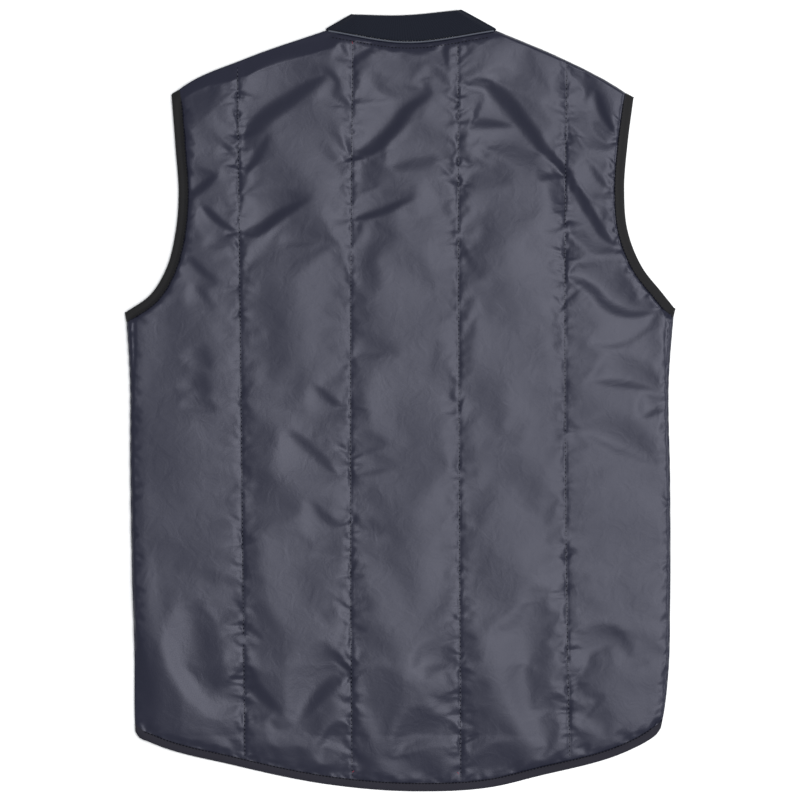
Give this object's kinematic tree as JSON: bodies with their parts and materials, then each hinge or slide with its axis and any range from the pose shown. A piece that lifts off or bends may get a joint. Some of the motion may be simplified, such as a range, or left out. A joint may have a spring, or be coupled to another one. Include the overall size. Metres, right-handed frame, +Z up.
{
  "type": "quilted vest",
  "caption": "Padded sleeveless vest laid flat with its back upwards: vertical quilted channels, rib-knit stand collar, bound armholes and a curved drop-tail hem.",
  "frame": {"origin": "under the middle of the vest's box, on the surface it lies on", "axes": "+X to the right across the back as seen from above, +Y from the hem to the collar, +Z up out of the back"},
  "size_m": [0.5614, 0.798, 0.0121],
  "materials": {
    "back_shell": "navy nylon taffeta with a satin sheen, quilted over padding",
    "front_left_shell": "navy nylon taffeta with a satin sheen",
    "front_right_shell": "navy nylon taffeta with a satin sheen",
    "rib_knit": "dark navy rib knit",
    "piping": "grey-blue folded cloth",
    "armhole_tape_left": "matt black woven tape",
    "armhole_tape_right": "matt black woven tape",
    "hem_tape": "matt black woven tape",
    "placket": "navy nylon taffeta",
    "studs": "black lacquer"
  },
  "bodies": {
    "root": {"back_panel": "back_shell", "front_left": "front_left_shell", "front_right": "front_right_shell", "collar_rib": "rib_knit", "neck_piping": "piping", "armhole_binding_left": "armhole_tape_left", "armhole_binding_right": "armhole_tape_right", "hem_binding": "hem_tape", "front_placket": "placket", "press_stud_1": "studs", "press_stud_2": "studs", "press_stud_3": "studs", "press_stud_4": "studs", "press_stud_5": "studs"}
  },
  "joints": []
}
